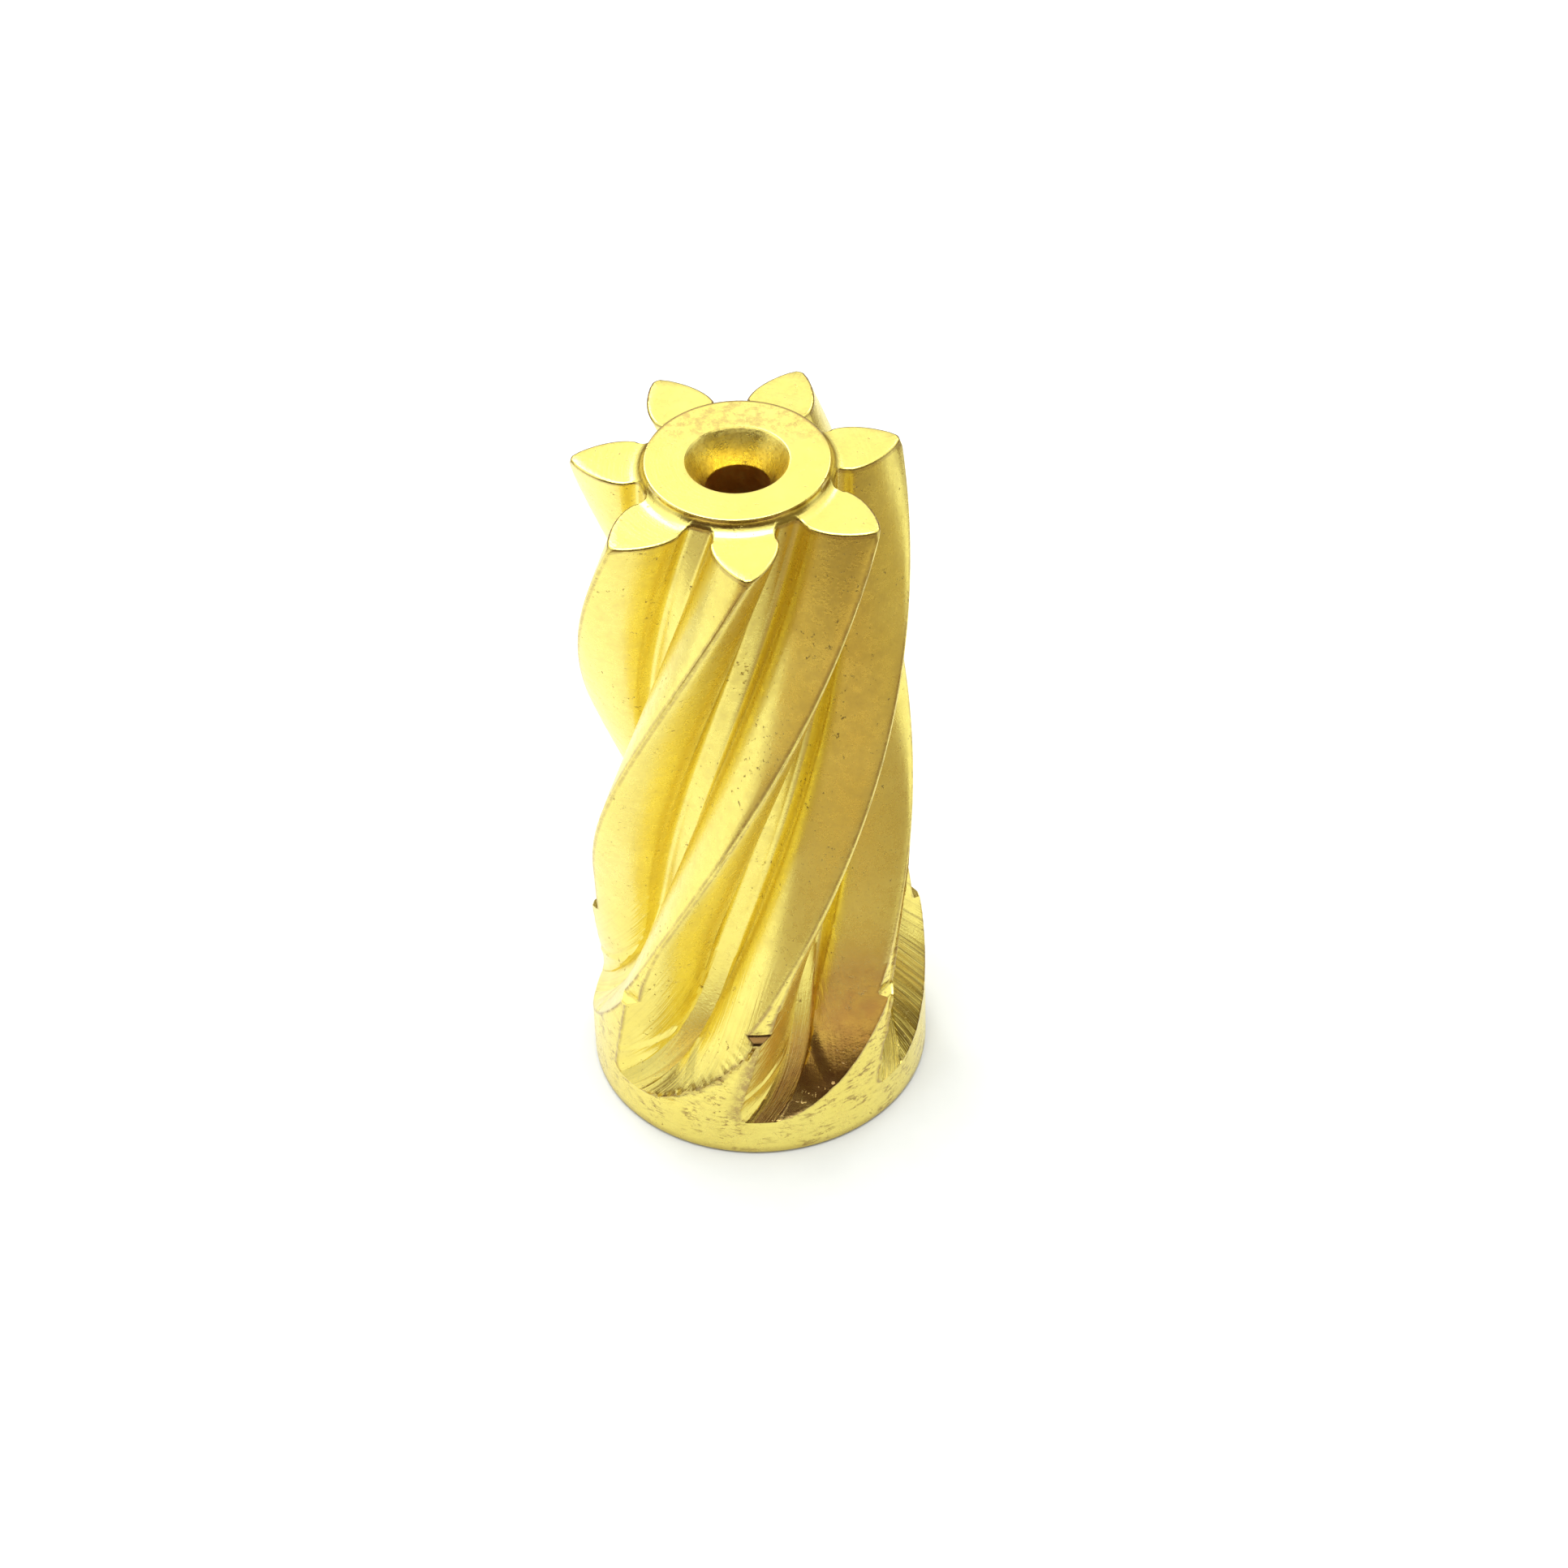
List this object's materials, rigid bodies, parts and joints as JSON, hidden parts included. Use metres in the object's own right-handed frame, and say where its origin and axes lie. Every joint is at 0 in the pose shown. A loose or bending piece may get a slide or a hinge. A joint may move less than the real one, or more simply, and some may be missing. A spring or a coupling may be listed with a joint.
{
  "type": "helical pinion",
  "caption": "Solid brass helical pinion with right-hand teeth, an uncut collar at its foot, a low boss on its end face and a centre-drilled bore along its axis.",
  "frame": {"origin": "centre of the collar's flat end, on the gear axis", "axes": "+Z along the gear axis from the collar to the boss; +X to the right and -Y towards the viewer when one tooth tip of the top end face points at the viewer"},
  "size_m": [0.011, 0.011, 0.025],
  "materials": {
    "brass": "machined, satin, with a grainy bloom on the flanks"
  },
  "bodies": {
    "root": {"helical_pinion": "brass"}
  },
  "joints": []
}
